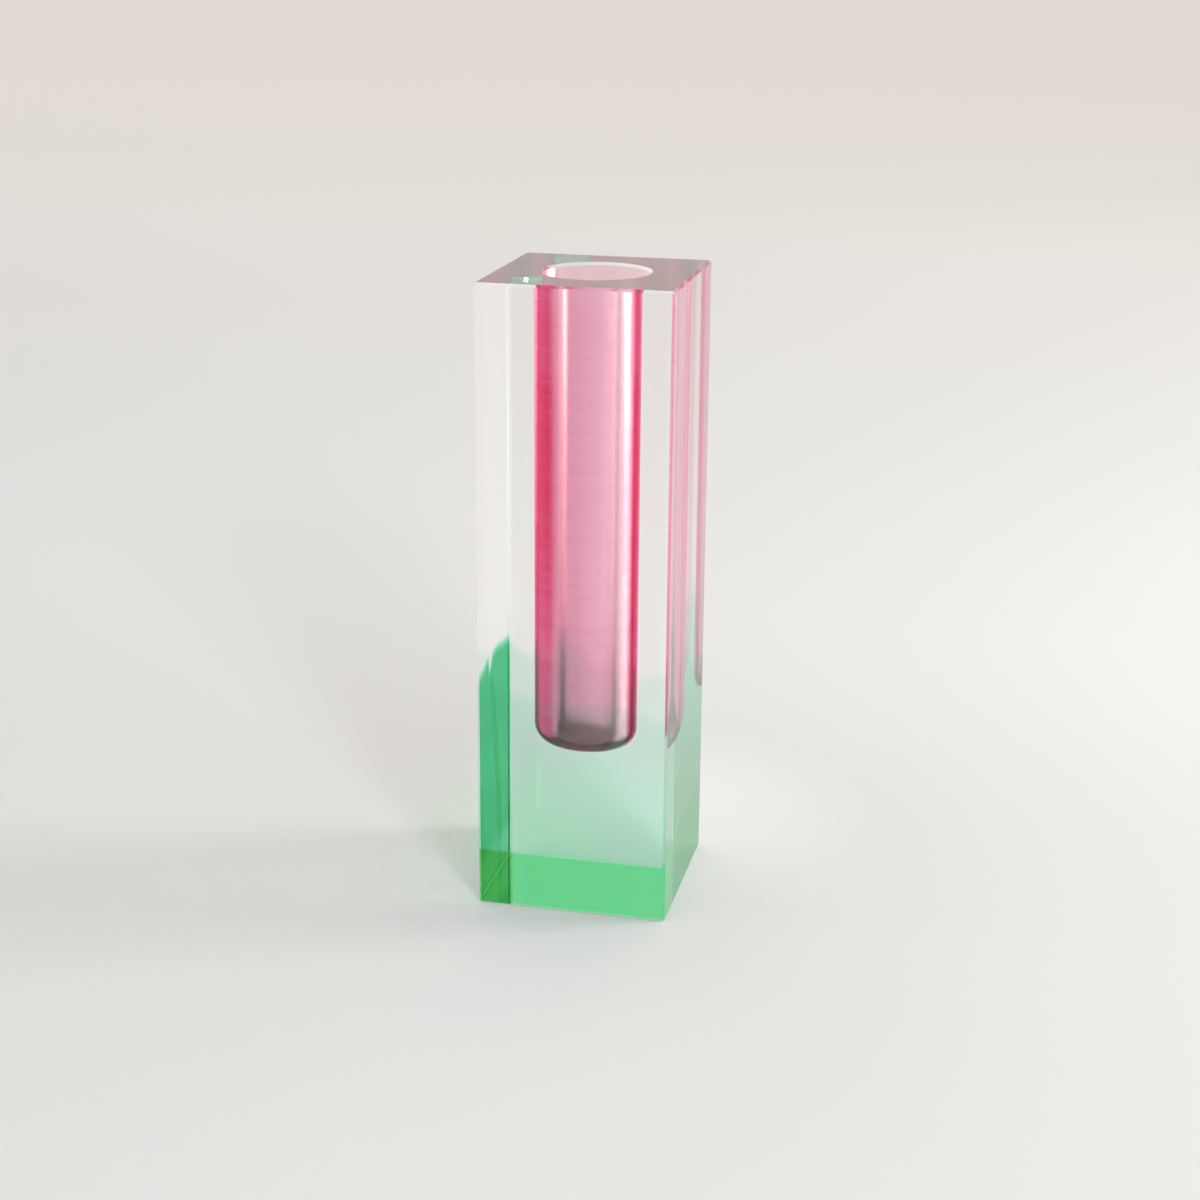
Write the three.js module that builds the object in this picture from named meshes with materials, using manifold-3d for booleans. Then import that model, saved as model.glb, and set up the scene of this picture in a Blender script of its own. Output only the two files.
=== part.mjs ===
// Prism vase: a square block of clear cast acrylic with one blind round bore.
// The bore wears a thin pink dyed lining, and the foot of the block a thin green dyed skin.
// Millimetres, +Z up, the origin in the middle of the foot, the front of the vase towards -Y.
import * as THREE from 'three';
import { mergeVertices } from 'three/addons/utils/BufferGeometryUtils.js';
import Module from 'manifold-3d';

const wasm = await Module();
wasm.setup();

// The block
const blockWidth = 50; // left to right
const blockDepth = 50; // front to back
const blockHeight = 165;
const edgeChamfer = 0.6; // polished 45 degree break on every outside edge

// The bore, cut with a bull-nosed tool
const boreDiameter = 27.2;
const solidFoot = 41; // clear acrylic left under the bore
const boreCornerRadius = 5.7;
const mouthChamfer = 0.7;

// The pink lining, a thin cup that stands just off the wall of the bore
const liningThickness = 0.4;
const liningClearance = 0.3;

// The green skin, dipped at a slight tilt, so its upper edge is higher on the left
const skinThickness = 0.3;
const dyeLineLeft = 64;
const dyeLineRight = 58;

// Facets
const facetsAround = 72;
const facetsInCorner = 6;

const boreRadius = boreDiameter / 2;
const cutOvershoot = 2; // how far a cutting body reaches past what it cuts

function solidOf(geometry) {
  // A closed geometry as a solid for cutting: one vertex for each corner, and no faces of no area.
  const bare = geometry.clone();
  bare.deleteAttribute('normal');
  bare.deleteAttribute('uv');
  const merged = mergeVertices(bare, 1e-4);
  const corners = merged.index.array;
  const kept = [];
  for (let i = 0; i < corners.length; i += 3) {
    const [a, b, c] = [corners[i], corners[i + 1], corners[i + 2]];
    if (a !== b && b !== c && c !== a) kept.push(a, b, c);
  }
  return new wasm.Manifold(new wasm.Mesh({
    numProp: 3,
    vertProperties: new Float32Array(merged.attributes.position.array),
    triVerts: new Uint32Array(kept),
  }));
}

function geometryOf(solid) {
  const mesh = solid.getMesh();
  const geometry = new THREE.BufferGeometry();
  geometry.setAttribute('position', new THREE.BufferAttribute(mesh.vertProperties, 3));
  geometry.setIndex(new THREE.BufferAttribute(mesh.triVerts, 1));
  geometry.computeVertexNormals();
  return geometry;
}

function chamferedBlock(width, depth, low, high, chamfer) {
  // A square block with a 45 degree chamfer on all twelve edges: an eight-sided outline whose
  // two ends are bevelled by the same amount.
  const x = width / 2;
  const y = depth / 2;
  const outline = new THREE.Shape();
  outline.moveTo(x - chamfer, -y);
  outline.lineTo(x, -y + chamfer);
  outline.lineTo(x, y - chamfer);
  outline.lineTo(x - chamfer, y);
  outline.lineTo(-x + chamfer, y);
  outline.lineTo(-x, y - chamfer);
  outline.lineTo(-x, -y + chamfer);
  outline.lineTo(-x + chamfer, -y);
  outline.closePath();
  const block = new THREE.ExtrudeGeometry(outline, {
    depth: high - low - 2 * chamfer,
    bevelThickness: chamfer,
    bevelSize: chamfer,
    bevelOffset: -chamfer,
    bevelSegments: 1,
  });
  return solidOf(block.translate(0, 0, low + chamfer));
}

function cupProfile(radius, floor, cornerRadius) {
  // Half the section of a flat-bottomed round hole: out along its floor and round its corner.
  const points = [new THREE.Vector2(0, floor)];
  for (let i = 0; i <= facetsInCorner; i += 1) {
    const turn = (i / facetsInCorner) * (Math.PI / 2);
    points.push(new THREE.Vector2(
      radius - cornerRadius + cornerRadius * Math.sin(turn),
      floor + cornerRadius - cornerRadius * Math.cos(turn),
    ));
  }
  return points;
}

function turned(points) {
  // A half section turned about the vertical axis of the bore.
  return solidOf(new THREE.LatheGeometry(points, facetsAround).rotateX(Math.PI / 2));
}

function boreCutter() {
  const mouthRadius = boreRadius + mouthChamfer;
  const points = cupProfile(boreRadius, solidFoot, boreCornerRadius);
  points.push(new THREE.Vector2(boreRadius, blockHeight - mouthChamfer));
  points.push(new THREE.Vector2(mouthRadius, blockHeight));
  points.push(new THREE.Vector2(mouthRadius, blockHeight + cutOvershoot));
  points.push(new THREE.Vector2(0, blockHeight + cutOvershoot));
  return turned(points);
}

function lining() {
  // A cup of even wall: its outside follows the bore at the clearance, its rim ends under the mouth's chamfer.
  const outerRadius = boreRadius - liningClearance;
  const outerFloor = solidFoot + liningClearance;
  const outerCorner = boreCornerRadius - liningClearance;
  const rim = blockHeight - mouthChamfer;
  const outside = cupProfile(outerRadius, outerFloor, outerCorner);
  const inside = cupProfile(
    outerRadius - liningThickness,
    outerFloor + liningThickness,
    outerCorner - liningThickness,
  );
  const innerRim = new THREE.Vector2(outerRadius - liningThickness, rim);
  return turned([...outside, new THREE.Vector2(outerRadius, rim), innerRim, ...inside.reverse()]);
}

function belowDyeLine() {
  // Everything under the tilted plane of the dye line.
  const reach = blockWidth / 2 + cutOvershoot;
  const rise = (dyeLineLeft - dyeLineRight) / blockWidth * cutOvershoot;
  const section = new THREE.Shape();
  section.moveTo(-reach, -cutOvershoot);
  section.lineTo(reach, -cutOvershoot);
  section.lineTo(reach, dyeLineRight - rise);
  section.lineTo(-reach, dyeLineLeft + rise);
  section.closePath();
  const length = blockDepth + 2 * cutOvershoot;
  const wedge = new THREE.ExtrudeGeometry(section, { depth: length, bevelEnabled: false });
  return solidOf(wedge.rotateX(Math.PI / 2).translate(0, length / 2, 0));
}

function greenSkin(block) {
  // An open-topped box of even wall that wraps the foot, flush with the block's own faces and chamfers.
  // Moving a 45 degree chamfer in by the wall shortens its leg by (2 - sqrt 2) of the wall.
  const insideChamfer = edgeChamfer - (2 - Math.SQRT2) * skinThickness;
  const inside = chamferedBlock(
    blockWidth - 2 * skinThickness,
    blockDepth - 2 * skinThickness,
    skinThickness,
    blockHeight + cutOvershoot,
    insideChamfer,
  );
  return block.intersect(belowDyeLine()).subtract(inside);
}

function piece(name, solid, look) {
  const mesh = new THREE.Mesh(geometryOf(solid), new THREE.MeshStandardMaterial(look));
  mesh.name = name;
  return mesh;
}

const wholeBlock = chamferedBlock(blockWidth, blockDepth, 0, blockHeight, edgeChamfer);
const skin = greenSkin(wholeBlock);
const bored = wholeBlock.subtract(boreCutter()).subtract(skin);

const vase = new THREE.Group();
vase.add(piece('clear_acrylic_block', bored, {
  color: 0xe9ece8,
  roughness: 0.04,
  metalness: 0,
  transparent: true,
  opacity: 0.3,
}));
vase.add(piece('pink_bore_lining', lining(), { color: 0xd9627f, roughness: 0.3, metalness: 0 }));
vase.add(piece('green_foot_skin', skin, {
  color: 0x5cc58c,
  roughness: 0.05,
  metalness: 0,
  transparent: true,
  opacity: 0.5,
}));

export default vase;
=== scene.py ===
from math import radians

import bpy
import numpy as np
from mathutils import Matrix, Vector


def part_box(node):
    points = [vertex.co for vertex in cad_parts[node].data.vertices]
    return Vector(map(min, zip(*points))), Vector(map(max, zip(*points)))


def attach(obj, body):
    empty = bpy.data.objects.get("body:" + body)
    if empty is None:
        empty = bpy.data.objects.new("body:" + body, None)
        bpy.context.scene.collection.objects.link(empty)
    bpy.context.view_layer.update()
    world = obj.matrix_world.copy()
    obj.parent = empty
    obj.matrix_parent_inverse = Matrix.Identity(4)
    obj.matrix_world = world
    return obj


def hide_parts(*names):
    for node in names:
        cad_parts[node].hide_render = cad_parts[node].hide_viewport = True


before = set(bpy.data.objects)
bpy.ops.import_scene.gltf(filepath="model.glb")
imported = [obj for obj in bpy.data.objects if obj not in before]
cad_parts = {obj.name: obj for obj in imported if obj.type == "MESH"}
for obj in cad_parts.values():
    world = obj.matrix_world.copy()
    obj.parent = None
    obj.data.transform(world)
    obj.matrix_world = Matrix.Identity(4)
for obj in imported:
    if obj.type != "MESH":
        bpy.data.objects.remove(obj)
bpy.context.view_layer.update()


# The block is one length of clear cast acrylic, sawn square, with its edges
# planed and all its faces polished. A hole with a rounded bottom corner is bored
# down the centre line, and its wall keeps the fine rings of the boring tool.

block_high = np.array(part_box("clear_acrylic_block")[1])
block_half = block_high[0]
block_foot = 0.0
block_top = block_high[2]
edge_chamfer = 0.0006
foot_chamfer = 0.00003
bore_radius = 0.0136
bore_floor = 0.041
bore_corner = 0.0057
mouth_chamfer = 0.0007
acrylic_ior = 1.49
steps_across_side = 60
steps_in_corner = 18
rings_in_bore = 40
bore_roughness = 0.22
rings_per_metre = 60000.0
ring_middle = 0.5
ring_edge = 0.7
ring_slope = 0.08
flank_slope = 0.12
flank_power = 3.0
wall_margin = 0.00001
block_sharp_angle = 25

sweep = np.radians(45.0) - np.arctan(edge_chamfer / (2 * block_half - edge_chamfer))
side_angles = np.linspace(-sweep, sweep, steps_across_side + 1)
side_shares = np.tan(side_angles) / np.tan(sweep)
quarter_turns = np.repeat(np.arange(4) * np.pi / 2, side_angles.size)


def turned_quarters(out, along):
    """Four copies of one side's points, each a quarter turn on from the last:
    (out, along) is turned by 0, 90, 180 and 270 degrees about Z."""
    out, along = np.tile(out, 4), np.tile(along, 4)
    cos, sin = np.cos(quarter_turns), np.sin(quarter_turns)
    return out * cos - along * sin, out * sin + along * cos


def square_ring(half, chamfer, z):
    """Outline of the block at height z. Each side lies at x = half and runs
    across by its share of half less the chamfer; the last point of one side and
    the first of the next make the planed corner."""
    out = np.full(side_shares.size, half)
    x, y = turned_quarters(out, side_shares * (half - chamfer))
    return np.stack([x, y, np.full(x.size, z)], axis=1)


def round_ring(radius, z):
    """Circle about Z with a point on the ray of each point of the outline."""
    x, y = turned_quarters(radius * np.cos(side_angles), radius * np.sin(side_angles))
    return np.stack([x, y, np.full(x.size, z)], axis=1)


def skin_over_rings(name, first_pole, rings, last_pole, sharp_angle):
    """Closed mesh through a stack of rings: point j of ring i joins point j of
    ring i + 1 and the next point round, and a fan closes each end on its pole.
    The rings run so that each face's corners turn anticlockwise from outside."""
    rings = np.asarray(rings)
    count, around = rings.shape[:2]
    points = np.concatenate([rings.reshape(-1, 3), [first_pole], [last_pole]])
    here = np.arange(around)
    after = (here + 1) % around
    rows = np.arange(count - 1)[:, None] * around
    quads = np.stack([rows + here, rows + after, rows + around + after, rows + around + here], axis=-1)
    low_fan = np.stack([after, here, np.full(around, count * around)], axis=1)
    top = (count - 1) * around
    high_fan = np.stack([top + here, top + after, np.full(around, count * around + 1)], axis=1)
    faces = quads.reshape(-1, 4).tolist() + low_fan.tolist() + high_fan.tolist()
    mesh = bpy.data.meshes.new(name)
    mesh.from_pydata(points.tolist(), [], faces)
    mesh.polygons.foreach_set("use_smooth", np.ones(len(mesh.polygons), dtype=bool))
    mesh.set_sharp_from_angle(angle=radians(sharp_angle))
    mesh.update()
    piece = bpy.data.objects.new(name, mesh)
    bpy.context.scene.collection.objects.link(piece)
    return piece


def bore_profile(radius, floor, corner, points_in_turn):
    """Radius and height down the wall and round the corner to the floor: a
    straight line, then a quarter circle of the corner's radius."""
    turn = np.linspace(0, np.pi / 2, points_in_turn)
    radii = radius - corner + corner * np.cos(turn)
    heights = floor + corner - corner * np.sin(turn)
    return radii, heights


corner_radii, corner_heights = bore_profile(bore_radius, bore_floor, bore_corner, steps_in_corner)
wall_heights = np.linspace(block_top - mouth_chamfer, bore_floor + bore_corner, rings_in_bore)[:-1]
inset = block_half - edge_chamfer
corner_inset = edge_chamfer * np.sqrt(2.0) - edge_chamfer
foot_inset = block_half - foot_chamfer
foot_corner = edge_chamfer - foot_chamfer * (2.0 - np.sqrt(2.0))
block_rings = [
    square_ring(foot_inset, foot_corner, block_foot),
    square_ring(block_half, edge_chamfer, block_foot + foot_chamfer),
    square_ring(block_half, edge_chamfer, block_top - edge_chamfer),
    square_ring(inset, corner_inset, block_top),
    round_ring(bore_radius + mouth_chamfer, block_top),
]
block_rings += [round_ring(bore_radius, z) for z in wall_heights]
block_rings += [round_ring(r, z) for r, z in zip(corner_radii[:-1], corner_heights[:-1])]
block_rings += [round_ring(corner_radii[-1], corner_heights[-1])]
block = skin_over_rings(
    "acrylic_block", (0, 0, block_foot), block_rings, (0, 0, bore_floor), block_sharp_angle)


def new_material(name):
    """Empty node material: its nodes, its links and its output."""
    material = bpy.data.materials.new(name)
    material.use_nodes = True
    material.node_tree.nodes.clear()
    output = material.node_tree.nodes.new("ShaderNodeOutputMaterial")
    return material, material.node_tree.nodes, material.node_tree.links, output


polished, nodes, links, output = new_material("polished_acrylic")
shader = nodes.new("ShaderNodeBsdfPrincipled")
shader.inputs["Base Color"].default_value = (1, 1, 1, 1)
shader.inputs["Transmission Weight"].default_value = 1.0
shader.inputs["IOR"].default_value = acrylic_ior
shader.inputs["Roughness"].default_value = 0.0
links.new(shader.outputs["BSDF"], output.inputs["Surface"])

bored, nodes, links, output = new_material("bored_acrylic")
shader = nodes.new("ShaderNodeBsdfPrincipled")
shader.inputs["Base Color"].default_value = (1, 1, 1, 1)
shader.inputs["Transmission Weight"].default_value = 1.0
shader.inputs["IOR"].default_value = acrylic_ior
shader.inputs["Roughness"].default_value = bore_roughness
where = nodes.new("ShaderNodeTexCoord")
height = nodes.new("ShaderNodeSeparateXYZ")
links.new(where.outputs["Object"], height.inputs["Vector"])
rings = nodes.new("ShaderNodeTexNoise")
rings.noise_dimensions = "1D"
rings.inputs["Scale"].default_value = rings_per_metre
rings.inputs["Detail"].default_value = 1.0
links.new(height.outputs["Z"], rings.inputs["W"])
lean = nodes.new("ShaderNodeMapRange")
lean.clamp = False
lean.inputs["From Min"].default_value = ring_middle
lean.inputs["From Max"].default_value = ring_edge
links.new(rings.outputs["Fac"], lean.inputs["Value"])
steep = nodes.new("ShaderNodeMath")
steep.operation = "POWER"
links.new(lean.outputs["Result"], steep.inputs[0])
steep.inputs[1].default_value = flank_power
flanks = nodes.new("ShaderNodeMath")
flanks.operation = "MULTIPLY"
links.new(steep.outputs["Value"], flanks.inputs[0])
flanks.inputs[1].default_value = flank_slope
slope = nodes.new("ShaderNodeMath")
slope.operation = "MULTIPLY_ADD"
links.new(lean.outputs["Result"], slope.inputs[0])
slope.inputs[1].default_value = ring_slope
links.new(flanks.outputs["Value"], slope.inputs[2])
upright = nodes.new("ShaderNodeCombineXYZ")
links.new(slope.outputs["Value"], upright.inputs["Z"])
facing = nodes.new("ShaderNodeNewGeometry")
leaning = nodes.new("ShaderNodeVectorMath")
leaning.operation = "ADD"
links.new(facing.outputs["Normal"], leaning.inputs[0])
links.new(upright.outputs["Vector"], leaning.inputs[1])
levelled = nodes.new("ShaderNodeVectorMath")
levelled.operation = "NORMALIZE"
links.new(leaning.outputs["Vector"], levelled.inputs[0])
links.new(levelled.outputs["Vector"], shader.inputs["Normal"])
links.new(shader.outputs["BSDF"], output.inputs["Surface"])

block.data.materials.append(polished)
block.data.materials.append(bored)
centres = np.empty(len(block.data.polygons) * 3)
block.data.polygons.foreach_get("center", centres)
centres = centres.reshape(-1, 3)
near_axis = np.hypot(centres[:, 0], centres[:, 1]) < bore_radius + wall_margin
in_bore = near_axis & (centres[:, 2] > bore_floor / 2)
block.data.polygons.foreach_set("material_index", in_bore.astype(np.int32))
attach(block, "root")
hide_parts("clear_acrylic_block")


# The pink is a very thin film of dye that lines the wall and the floor of the
# bore. It is uneven: it ran thin in upright streaks and round the bottom corner,
# and the highest ridges that the boring tool left have lost theirs. The thinnest
# upright strips, near -112 degrees and from -46 to -26 degrees round, are painted
# highlight: there the film is thinned so that the lamps' bright streaks show nearly white.

pink_start = 0.00002
pink_depth = 0.00006
pink_kept = (0.99, 0.601, 0.745)
pink_bare_ridges = 0.06
ridges_per_metre = 60000.0
slant_head_on = 0.25
slant_between = ((0.245, 0.33), (0.27, 0.5), (0.34, 0.875), (0.6, 0.75), (0.85, 0.55))
slant_edge_on = 0.0
slant_full = 4.0
film_on_floor = 1.4
back_of_corner = (30, 160)
film_at_back = 0.9
film_at_front = 0.5
corner_low = 0.0003
corner_high = 0.002
wall_low = 0.0045
streak_every = 3
streak_amount = 0.05
streak_seed = 11
shell_sharp_angle = 30

# Shares of the full film at these angles round the wall, one row for each height
# from the foot to the mouth, fitted by comparing renders with the photographed vase.
# Where these shares are lowest, near -112 and from -46 to -26 degrees, the thin film is painted highlight
# and not dye that ran thin.
film_round = np.array([-172, -158, -148, -134, -118, -112, -106, -100, -85, -70, -62, -56, -46, -40,
                       -30, -26, -20, -14, -6, 2, 18, 40, 60, 75, 95, 110, 150, 165])
film_foot = np.array([1.0, 0.6, 0.6, 0.6, 0.7, 0.8, 0.8, 0.95, 0.88, 0.8, 0.8, 0.9, 0.35, 0.22,
                      0.18, 0.45, 1.0, 1.0, 0.9, 0.45, 0.6, 0.8, 0.7, 0.8, 0.85, 0.9, 0.9, 0.8])
film_lower = np.array([0.8, 0.95, 0.75, 0.72, 1.05, 0.52, 0.45, 1.0, 0.88, 0.7, 0.55, 0.65, 0.18, 0.22,
                       0.22, 0.3, 1.05, 1.0, 0.9, 0.35, 0.5, 0.65, 0.6, 0.65, 0.67, 0.72, 0.9, 0.7])
film_middle = np.array([0.8, 0.66, 0.86, 0.95, 1.17, 0.28, 0.45, 1.0, 0.88, 0.72, 0.55, 0.66, 0.14, 0.4,
                        0.3, 0.33, 0.92, 1.03, 0.95, 0.35, 0.5, 0.65, 0.6, 0.68, 0.7, 0.74, 0.9, 0.7])
film_top = np.array([0.8, 0.68, 0.76, 0.76, 0.88, 0.22, 0.45, 0.95, 0.85, 0.7, 0.58, 0.62, 0.12, 0.38,
                     0.36, 0.4, 0.6, 0.82, 0.8, 0.35, 0.5, 0.65, 0.6, 0.7, 0.74, 0.78, 0.9, 0.7])
film_mouth = np.array([0.6, 0.57, 0.66, 0.64, 0.68, 0.25, 0.5, 0.85, 0.7, 0.56, 0.46, 0.5, 0.12, 0.26,
                       0.32, 0.45, 0.8, 0.85, 0.75, 0.27, 0.38, 0.49, 0.45, 0.53, 0.56, 0.59, 0.68, 0.53])
at_back = (film_round > back_of_corner[0]) & (film_round < back_of_corner[1])
film_corner = film_foot * np.where(at_back, film_at_back, film_at_front)
film_rows = (
    (bore_floor, film_foot * film_on_floor),
    (bore_floor + corner_low, film_corner), (bore_floor + corner_high, film_corner),
    (bore_floor + wall_low, film_foot), (0.062, film_foot), (0.085, film_lower),
    (0.115, film_middle), (0.139, film_middle), (0.142, film_top), (0.155, film_top),
    (block_top - mouth_chamfer, film_mouth))
streak_round = np.arange(-180, 180, streak_every)
streak_draws = np.random.default_rng(streak_seed).standard_normal(streak_round.size)
streak_shares = 1 + streak_amount * streak_draws

turn = np.linspace(0, np.pi / 2, steps_in_corner)
inner_radii, inner_heights = bore_profile(
    bore_radius + pink_start, bore_floor - pink_start, bore_corner + pink_start, steps_in_corner)
outer_radii = inner_radii + pink_depth * np.cos(turn)
outer_heights = inner_heights - pink_depth * np.sin(turn)
pink_rim = block_top - mouth_chamfer - pink_start
pink_rings = [round_ring(r, z) for r, z in zip(outer_radii[::-1], outer_heights[::-1])]
wall_rises = np.linspace(bore_floor + bore_corner, pink_rim, rings_in_bore)[1:]
pink_rings += [round_ring(outer_radii[0], z) for z in wall_rises]
pink_rings += [round_ring(inner_radii[0], z) for z in wall_rises[::-1]]
pink_rings += [round_ring(r, z) for r, z in zip(inner_radii, inner_heights)]
pink = skin_over_rings(
    "pink_bore_dye", (0, 0, outer_heights[-1]), pink_rings, (0, 0, inner_heights[-1]),
    shell_sharp_angle)


def film_share(points):
    """Share of the full film at each point: read round the wall from the row of
    each height, mixed between the two rows that the point lies between, then
    times the small upright streaks."""
    angle = np.degrees(np.arctan2(points[:, 1], points[:, 0]))
    row = np.interp(points[:, 2], [height for height, _ in film_rows], np.arange(len(film_rows)))
    share = np.zeros(len(points))
    for place, (_, shares) in enumerate(film_rows):
        share += np.interp(angle, film_round, shares, period=360) * np.clip(1 - abs(row - place), 0, 1)
    return share * np.interp(angle, streak_round, streak_shares, period=360)


# The dye attribute carries both the film's unevenness and the thinned strips that are painted highlight.
film_points = np.empty(len(pink.data.vertices) * 3)
pink.data.vertices.foreach_get("co", film_points)
dye_shares = film_share(film_points.reshape(-1, 3))
pink.data.attributes.new("dye", "FLOAT", "POINT").data.foreach_set("value", dye_shares)

film, nodes, links, output = new_material("pink_film")
shader = nodes.new("ShaderNodeBsdfPrincipled")
shader.inputs["Transmission Weight"].default_value = 1.0
shader.inputs["IOR"].default_value = 1.0
shader.inputs["Roughness"].default_value = 0.0
slant = nodes.new("ShaderNodeLayerWeight")
slant.inputs["Blend"].default_value = 0.5
strength = nodes.new("ShaderNodeValToRGB")
strength.color_ramp.elements[0].position = 0.0
strength.color_ramp.elements[0].color = (slant_head_on, slant_head_on, slant_head_on, 1)
strength.color_ramp.elements[1].position = 1.0
strength.color_ramp.elements[1].color = (slant_edge_on, slant_edge_on, slant_edge_on, 1)
for place, amount in slant_between:
    stop = strength.color_ramp.elements.new(place)
    stop.color = (amount, amount, amount, 1)
links.new(slant.outputs["Facing"], strength.inputs["Fac"])
where = nodes.new("ShaderNodeTexCoord")
height = nodes.new("ShaderNodeSeparateXYZ")
links.new(where.outputs["Object"], height.inputs["Vector"])
ridges = nodes.new("ShaderNodeTexWhiteNoise")
ridges.noise_dimensions = "1D"
counted = nodes.new("ShaderNodeMath")
counted.operation = "MULTIPLY"
counted.inputs[1].default_value = ridges_per_metre
links.new(height.outputs["Z"], counted.inputs[0])
stepped = nodes.new("ShaderNodeMath")
stepped.operation = "FLOOR"
links.new(counted.outputs["Value"], stepped.inputs[0])
links.new(stepped.outputs["Value"], ridges.inputs["W"])
dyed = nodes.new("ShaderNodeMath")
dyed.operation = "GREATER_THAN"
dyed.inputs[1].default_value = pink_bare_ridges
links.new(ridges.outputs["Value"], dyed.inputs[0])
power = nodes.new("ShaderNodeMath")
power.operation = "MULTIPLY"
links.new(strength.outputs["Color"], power.inputs[0])
links.new(dyed.outputs["Value"], power.inputs[1])
share = nodes.new("ShaderNodeAttribute")
share.attribute_name = "dye"
uneven = nodes.new("ShaderNodeMath")
uneven.operation = "MULTIPLY"
links.new(power.outputs["Value"], uneven.inputs[0])
links.new(share.outputs["Fac"], uneven.inputs[1])
dye = nodes.new("ShaderNodeMath")
dye.operation = "MULTIPLY"
dye.inputs[1].default_value = slant_full
links.new(uneven.outputs["Value"], dye.inputs[0])
tint = nodes.new("ShaderNodeCombineColor")
for channel, kept in zip(("Red", "Green", "Blue"), pink_kept):
    left = nodes.new("ShaderNodeMath")
    left.operation = "POWER"
    left.inputs[0].default_value = kept
    links.new(dye.outputs["Value"], left.inputs[1])
    links.new(left.outputs["Value"], tint.inputs[channel])
links.new(tint.outputs["Color"], shader.inputs["Base Color"])
links.new(shader.outputs["BSDF"], output.inputs["Surface"])

pink.data.materials.append(film)
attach(pink, "root")
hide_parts("pink_bore_lining")


# The green is a second dye that the foot was dipped in. It has soaked into the
# underside and the lower third of the four sides, deeper towards the foot, and
# it thins out to nothing at the line that the dye bath reached.

green_start = 0.00003
green_unit = 0.0002
green_density = 835.0
green_kept = (0.0, 0.80, 0.50)
green_fade = 0.004
green_rows = 90
row_crowding = 1.3
green_under = 1.5
climb_from = 0.045
climb_over = 0.04
first_angle = -45.001
side_limit = 0.99
# Height of the dye line in metres and depth of the dye at these angles round the
# foot, high up and low down, fitted in the same way.
line_round = np.array([-45, 0, 35, 60, 75, 100, 130, 137, 150, 165, 180, 187, 193, 198, 208,
                       225, 250, 270, 290, 305, 315])
line_height = np.array([56, 58, 60, 57, 54, 59, 60.5, 65.4, 65.8, 66.6, 66.3, 64.5, 60, 66, 64.5,
                        63, 60, 59, 61, 60, 56]) / 1000.0
depth_high = np.array([1.0, 1.0, 1.0, 0.9, 0.8, 1.05, 1.25, 1.15, 1.15, 1.15, 1.15, 1.15, 1.2, 1.2, 1.2,
                       1.15, 1.1, 1.0, 1.0, 1.0, 1.0])
depth_low = np.array([1.4, 1.2, 1.4, 1.7, 1.8, 1.9, 1.7, 1.0, 1.0, 1.0, 1.0, 1.0, 1.0, 1.0, 1.05,
                      1.4, 1.9, 1.9, 1.9, 1.9, 1.8])
run_heights = np.array([0.0, 0.02, 0.035, 0.05, 0.063])
run_along = np.array([0.0075, 0.0068, 0.0035, -0.001, -0.0045])
run_width = 0.0008
run_extra = 1.1
thin_below = 0.011
thin_within = 0.003
thin_share = 0.36
pooled_extra = 1.2
pooled_height = 0.0004

outline = square_ring(block_half, edge_chamfer, 0.0)
round_angle = np.degrees(np.arctan2(outline[:, 1], outline[:, 0]))
round_angle = np.where(round_angle < first_angle, round_angle + 360, round_angle)
on_left = outline[:, 0] < -side_limit * block_half


def round_the_foot(values):
    """Value at each point of the outline, straight between the angles given."""
    return np.interp(round_angle, line_round, values)


def green_depth(z):
    """Depth of the dye at height z all round: nothing at the line, a smooth
    rise over the fade, then a slow climb from the high to the low depth. On the
    left side a run of dye adds a narrow bell-shaped ridge that drifts across,
    and the dye is thin near the foot but pools along the bottom edge."""
    below = np.clip((round_the_foot(line_height) - z) / green_fade, 0, 1)
    ramp = below * below * (3 - 2 * below)
    climb = np.clip((climb_from - z) / climb_over, 0, 1)
    units = round_the_foot(depth_high) * (1 - climb) + round_the_foot(depth_low) * climb
    off_run = (outline[:, 1] - np.interp(z, run_heights, run_along)) / run_width
    run = run_extra * np.exp(-off_run ** 2)
    thin = thin_share * np.clip((thin_below - z) / thin_within, 0, 1)
    pooled = pooled_extra * np.exp(-(z - inner_floor) / pooled_height)
    return green_unit * ramp * np.where(on_left, (units + run) * (1 - thin) + pooled, units)


outer_half = block_half - green_start
foot_z = block_foot + green_start
skirt = foot_z + foot_chamfer
inner_floor = foot_z + green_unit * green_under
shares = 1 - np.linspace(1, 0, green_rows) ** row_crowding
green_rings = [square_ring(foot_inset - green_start, foot_corner, foot_z)]
for share in shares:
    ring = square_ring(outer_half, edge_chamfer, 0.0)
    ring[:, 2] = skirt + (round_the_foot(line_height) - skirt) * share
    green_rings.append(ring)
for share in shares[-2::-1]:
    ring = square_ring(outer_half, edge_chamfer, 0.0)
    ring[:, 2] = inner_floor + (round_the_foot(line_height) - inner_floor) * share
    ring[:, :2] *= (1 - green_depth(ring[:, 2]) / outer_half)[:, None]
    green_rings.append(ring)
green = skin_over_rings(
    "green_dipped_foot", (0, 0, foot_z), green_rings, (0, 0, inner_floor), shell_sharp_angle)

soaked, nodes, links, output = new_material("green_dye")
surface = nodes.new("ShaderNodeBsdfPrincipled")
surface.inputs["Base Color"].default_value = (1, 1, 1, 1)
surface.inputs["Transmission Weight"].default_value = 1.0
surface.inputs["IOR"].default_value = 1.0
surface.inputs["Roughness"].default_value = 0.0
volume = nodes.new("ShaderNodeVolumeAbsorption")
volume.inputs["Color"].default_value = (*green_kept, 1)
volume.inputs["Density"].default_value = green_density
links.new(surface.outputs["BSDF"], output.inputs["Surface"])
links.new(volume.outputs["Volume"], output.inputs["Volume"])
green.data.materials.append(soaked)
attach(green, "root")
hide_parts("green_foot_skin")


# The vase stands on a plain pale sheet, a little lighter and warmer far behind it.
# Its colour is darker in front of the vase, which is painted shade. Close round
# the foot it is brightened, greener on the left, which is painted light standing
# in for light that comes out through the vase.

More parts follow.
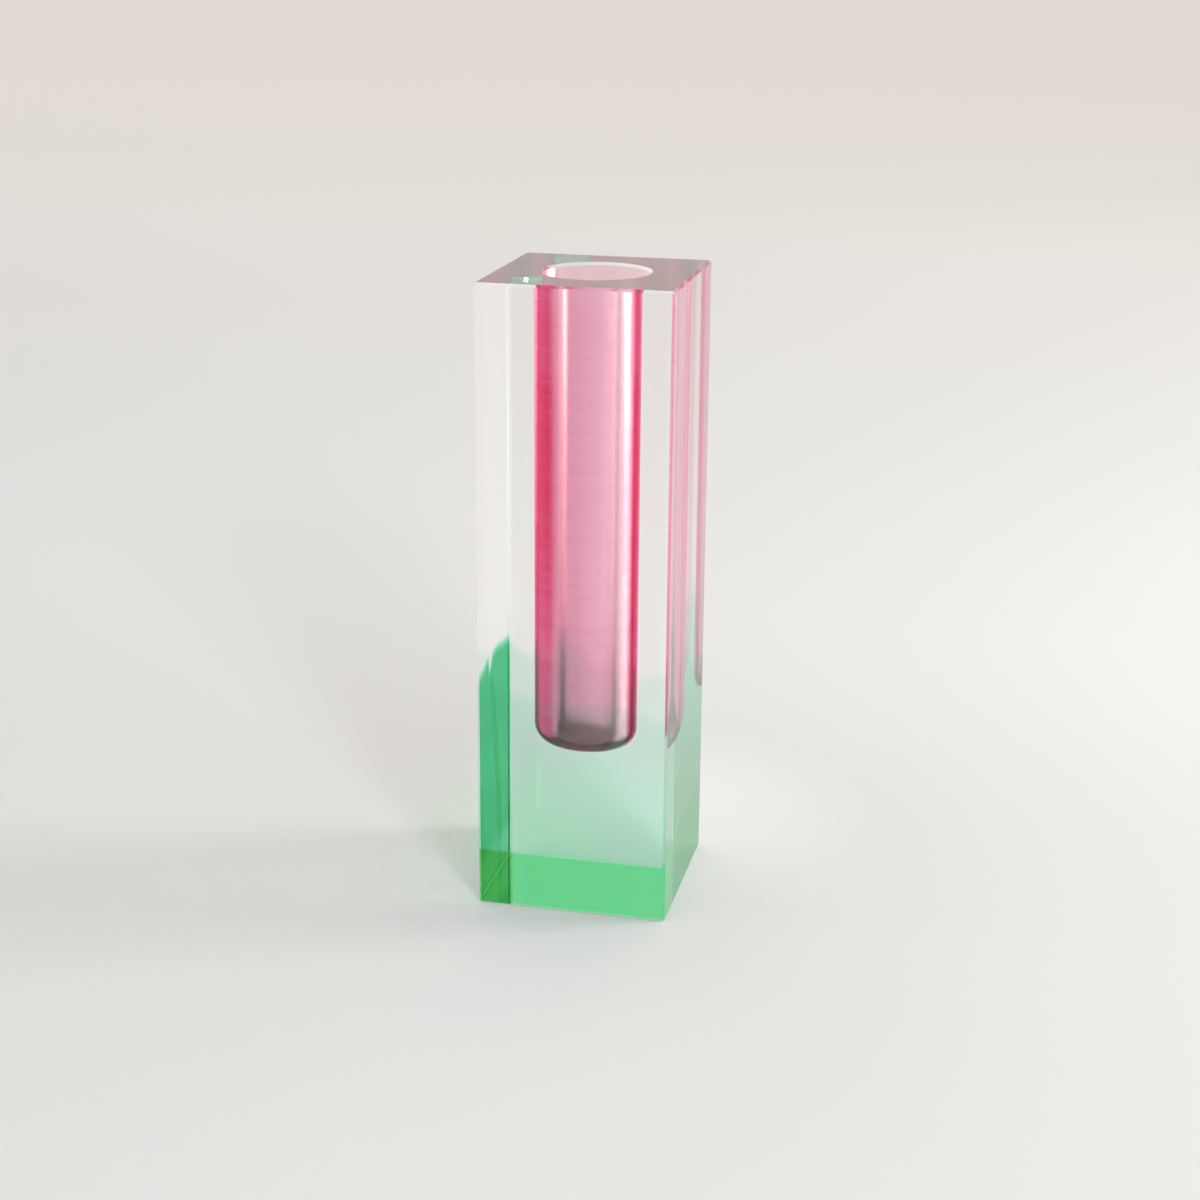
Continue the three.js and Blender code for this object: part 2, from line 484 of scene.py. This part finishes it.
floor_gap = 0.0002
floor_reach = (-0.6, 3.0)
# Tones along Y; the darker tones in front of the vase are painted shade.
floor_tones = (
    (-0.5, (0.61, 0.59, 0.58)), (-0.15, (0.69, 0.705, 0.705)), (0.0, (0.70, 0.715, 0.715)),
    (0.25, (0.75, 0.77, 0.775)), (1.4, (0.84, 0.84, 0.81)), (2.5, (0.865, 0.855, 0.815)))
# Painted light round the foot: the sheet's colour is multiplied up near the vase, greener on its left,
# for light that comes through the vase.
painted_glow_middle = (0.0, 0.035)
painted_glow_near = 0.01
painted_glow_far = 0.085
painted_glow_left = (0.98, 1.17, 1.03)
painted_glow_right = (1.17, 1.18, 1.18)
painted_glow_left_edge = -0.03
painted_glow_right_edge = 0.01
floor_radius = 12.0
floor_rounds = 24
floor_spokes = 64

steps_out = np.linspace(0, 1, floor_rounds + 1)[1:] ** 2 * floor_radius
circle = np.linspace(0, 2 * np.pi, floor_spokes + 1)[:-1]
grid = np.stack(np.broadcast_arrays(
    steps_out[:, None] * np.cos(circle), steps_out[:, None] * np.sin(circle), -floor_gap), axis=-1)
here = np.arange(floor_spokes)
after = (here + 1) % floor_spokes
inner = np.arange(floor_rounds - 1)[:, None] * floor_spokes
outer = inner + floor_spokes
faces = np.stack([inner + here, outer + here, outer + after, inner + after], axis=-1)
fan = np.stack([np.full(floor_spokes, floor_rounds * floor_spokes), here, after], axis=1)
floor_mesh = bpy.data.meshes.new("floor")
floor_mesh.from_pydata(
    grid.reshape(-1, 3).tolist() + [[0, 0, -floor_gap]], [],
    faces.reshape(-1, 4).tolist() + fan.tolist())
floor = bpy.data.objects.new("floor", floor_mesh)
bpy.context.scene.collection.objects.link(floor)
sheet, nodes, links, output = new_material("pale_sheet")
shader = nodes.new("ShaderNodeBsdfPrincipled")
where = nodes.new("ShaderNodeTexCoord")
spot = nodes.new("ShaderNodeSeparateXYZ")
links.new(where.outputs["Object"], spot.inputs["Vector"])
reach = nodes.new("ShaderNodeMapRange")
reach.inputs["From Min"].default_value = floor_reach[0]
reach.inputs["From Max"].default_value = floor_reach[1]
links.new(spot.outputs["Y"], reach.inputs["Value"])
tone = nodes.new("ShaderNodeValToRGB")
tone.color_ramp.interpolation = "EASE"
while len(tone.color_ramp.elements) < len(floor_tones):
    tone.color_ramp.elements.new(0.5)
for stop, (away, colour) in zip(tone.color_ramp.elements, floor_tones):
    stop.position = (away - floor_reach[0]) / (floor_reach[1] - floor_reach[0])
    stop.color = (*colour, 1)
links.new(reach.outputs["Result"], tone.inputs["Fac"])
# Painted light: brighten the sheet's colour close round the foot, with a green tint on the left side.
away = nodes.new("ShaderNodeVectorMath")
away.operation = "DISTANCE"
links.new(where.outputs["Object"], away.inputs[0])
away.inputs[1].default_value = (*painted_glow_middle, -floor_gap)
spread = nodes.new("ShaderNodeMapRange")
spread.interpolation_type = "SMOOTHSTEP"
spread.inputs["From Min"].default_value = painted_glow_far
spread.inputs["From Max"].default_value = painted_glow_near
links.new(away.outputs["Value"], spread.inputs["Value"])
sideways = nodes.new("ShaderNodeMapRange")
sideways.inputs["From Min"].default_value = painted_glow_left_edge
sideways.inputs["From Max"].default_value = painted_glow_right_edge
links.new(spot.outputs["X"], sideways.inputs["Value"])
glow = nodes.new("ShaderNodeMix")
glow.data_type = "RGBA"
glow.inputs["A"].default_value = (*painted_glow_left, 1)
glow.inputs["B"].default_value = (*painted_glow_right, 1)
links.new(sideways.outputs["Result"], glow.inputs["Factor"])
lit = nodes.new("ShaderNodeMix")
lit.data_type = "RGBA"
lit.blend_type = "MULTIPLY"
links.new(spread.outputs["Result"], lit.inputs["Factor"])
links.new(tone.outputs["Color"], lit.inputs["A"])
links.new(glow.outputs["Result"], lit.inputs["B"])
links.new(lit.outputs["Result"], shader.inputs["Base Color"])
shader.inputs["Roughness"].default_value = 0.9
shader.inputs["Specular IOR Level"].default_value = 0.0
links.new(shader.outputs["BSDF"], output.inputs["Surface"])
floor.data.materials.append(sheet)


# Soft studio light: an even white tent with paler panes behind the vase, and
# three small softboxes, one in front on the right and two behind on the right.

tent_colour = (0.79, 0.79, 0.80)
world = bpy.data.worlds.new("tent")
world.use_nodes = True
nodes, links = world.node_tree.nodes, world.node_tree.links
where = nodes.new("ShaderNodeTexCoord")
axes = nodes.new("ShaderNodeSeparateXYZ")
links.new(where.outputs["Generated"], axes.inputs["Vector"])


def worked(operation, *values):
    """Math node on sockets or numbers."""
    node = nodes.new("ShaderNodeMath")
    node.operation = operation
    for place, value in enumerate(values):
        if isinstance(value, bpy.types.NodeSocket):
            links.new(value, node.inputs[place])
        else:
            node.inputs[place].default_value = value
    return node.outputs["Value"]


azimuth = worked("DEGREES", worked("ARCTAN2", axes.outputs["Y"], axes.outputs["X"]))
elevation = worked("DEGREES", worked("ARCSINE", axes.outputs["Z"]))


def soft_pane(below, centre, half_width, low, high, edge, colour):
    """Pane of light in the tent, round a centre azimuth and between two
    elevations, with soft edges: it is mixed over what lies below it."""
    turn = worked("WRAP", worked("SUBTRACT", azimuth, centre), 180.0, -180.0)
    across = nodes.new("ShaderNodeMapRange")
    across.interpolation_type = "SMOOTHSTEP"
    across.inputs["From Min"].default_value = half_width + edge / 2
    across.inputs["From Max"].default_value = half_width - edge / 2
    links.new(worked("ABSOLUTE", turn), across.inputs["Value"])
    up = nodes.new("ShaderNodeMapRange")
    up.interpolation_type = "SMOOTHSTEP"
    up.inputs["From Min"].default_value = (high - low) / 2 + edge / 2
    up.inputs["From Max"].default_value = (high - low) / 2 - edge / 2
    links.new(worked("ABSOLUTE", worked("SUBTRACT", elevation, (high + low) / 2)), up.inputs["Value"])
    mixed = nodes.new("ShaderNodeMix")
    mixed.data_type = "RGBA"
    links.new(worked("MULTIPLY", across.outputs["Result"], up.outputs["Result"]), mixed.inputs["Factor"])
    if isinstance(below, tuple):
        mixed.inputs["A"].default_value = (*below, 1)
    else:
        links.new(below, mixed.inputs["A"])
    mixed.inputs["B"].default_value = (*colour, 1)
    return mixed.outputs["Result"]


light = soft_pane(
    tent_colour, centre=104, half_width=40, low=12, high=45, edge=16, colour=(1.30, 1.02, 0.82))
light = soft_pane(
    light, centre=70, half_width=18, low=14, high=40, edge=12, colour=(1.3, 0.78, 0.4))
light = soft_pane(
    light, centre=53, half_width=14, low=-2, high=14, edge=6, colour=(4.0, 4.0, 3.6))
links.new(light, nodes["Background"].inputs["Color"])
bpy.context.scene.world = world

lamp_height = 0.1


def softbox(name, turn, rise, distance, across, upright, radiance, colour):
    """Area lamp turned about Z, raised by an angle and facing the vase's middle;
    its watts are radiance times pi times its area."""
    data = bpy.data.lights.new(name, "AREA")
    data.shape = "RECTANGLE"
    data.size = across
    data.size_y = upright
    data.energy = radiance * np.pi * across * upright
    data.color = colour
    lamp = bpy.data.objects.new(name, data)
    lamp.matrix_world = (
        Matrix.Translation((0, 0, lamp_height))
        @ Matrix.Rotation(radians(turn), 4, "Z")
        @ Matrix.Rotation(radians(90 - rise), 4, "Y")
        @ Matrix.Translation((0, 0, distance))
        @ Matrix.Rotation(radians(90), 4, "Z")
    )
    lamp.visible_camera = False
    bpy.context.scene.collection.objects.link(lamp)


softbox(
    "front_softbox", turn=-55, rise=27, distance=1.0, across=0.18, upright=0.18,
    radiance=27.0, colour=(0.95, 1.0, 1.0))
softbox(
    "back_softbox", turn=19, rise=14, distance=1.5, across=0.4, upright=0.36,
    radiance=22.0, colour=(1.0, 0.98, 0.95))
softbox(
    "low_softbox", turn=20, rise=0, distance=0.6, across=0.34, upright=0.2,
    radiance=3.8, colour=(1.0, 0.98, 0.56))

scene = bpy.context.scene
scene.view_settings.view_transform = "Standard"
scene.cycles.max_bounces = 48
scene.cycles.transmission_bounces = 48
scene.cycles.glossy_bounces = 24
scene.cycles.transparent_max_bounces = 128


# The camera stands half a metre in front of the vase and a little to its right,
# a quarter of a metre above the sheet, and looks slightly down at it.

camera_place = (0.1182, -0.50739, 0.24934)
camera_turn = 12.9573
camera_dip = 16.8294
camera_roll = 0.4073

camera_data = bpy.data.cameras.new("camera")
camera_data.sensor_width = 36.0
camera_data.lens = 62.49
camera_data.shift_y = -0.04167
camera_data.clip_start = 0.01
camera = bpy.data.objects.new("camera", camera_data)
scene.collection.objects.link(camera)
camera.matrix_world = (
    Matrix.Translation(camera_place)
    @ Matrix.Rotation(radians(camera_turn), 4, "Z")
    @ Matrix.Rotation(radians(90 - camera_dip), 4, "X")
    @ Matrix.Rotation(radians(camera_roll), 4, "Z")
)
scene.camera = camera
